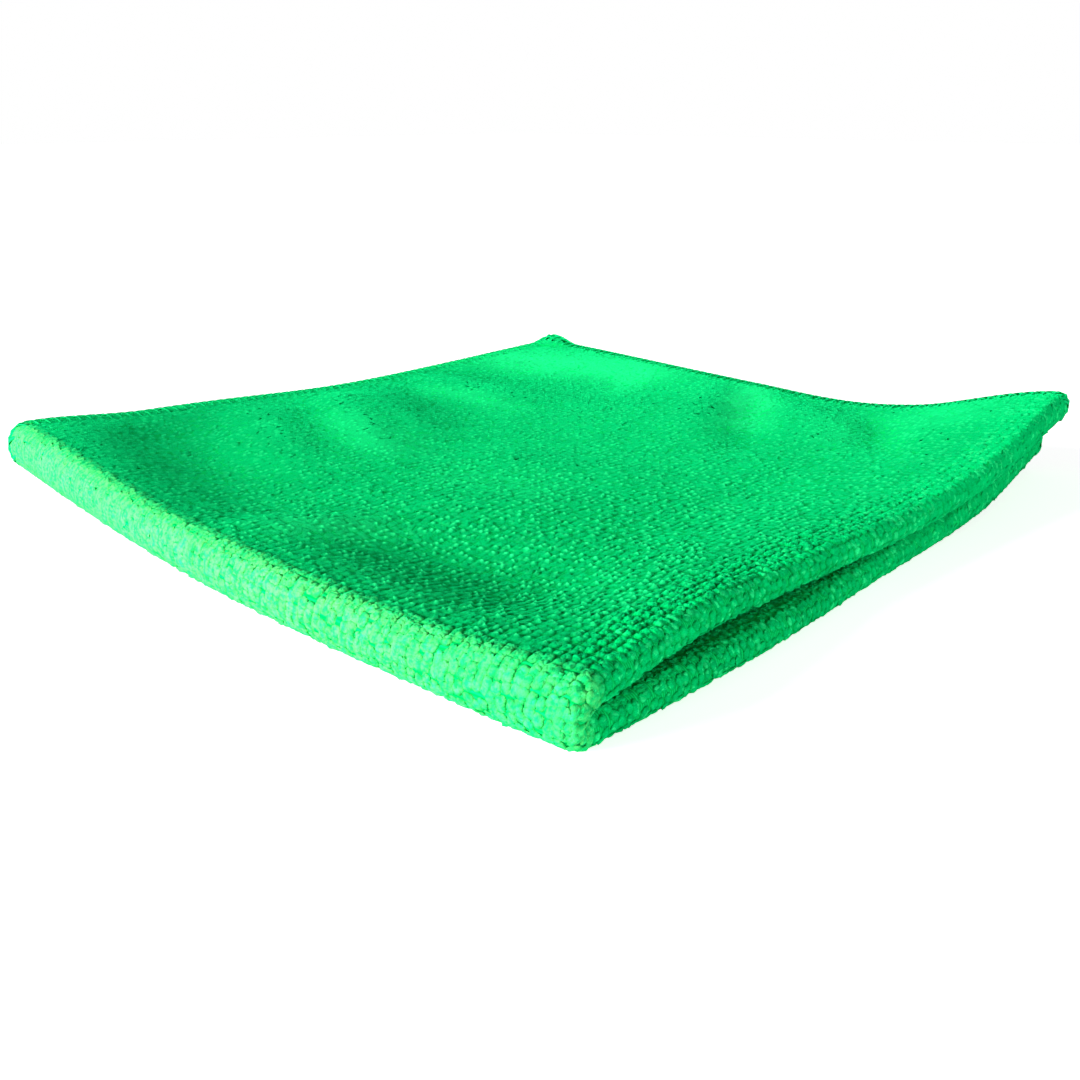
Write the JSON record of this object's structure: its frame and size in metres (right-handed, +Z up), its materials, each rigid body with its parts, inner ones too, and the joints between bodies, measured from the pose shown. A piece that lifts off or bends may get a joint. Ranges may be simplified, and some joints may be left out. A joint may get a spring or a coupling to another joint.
{
  "type": "folded microfibre cleaning cloth",
  "caption": "Square knitted microfibre cleaning cloth, folded in half twice and lying flat, with rounded creases on the front and right side and open hems behind.",
  "frame": {"origin": "on the surface it lies on, under the middle of the folded bundle's box", "axes": "+Z up through the layers, +X towards the crease of the first fold, -Y towards the crease of the second fold, which wraps all layers"},
  "size_m": [0.2028, 0.2054, 0.0228],
  "materials": {
    "green_microfibre": "matte warp-knit microfibre with short looped pile"
  },
  "bodies": {
    "root": {"folded_cloth": "green_microfibre"}
  },
  "joints": []
}
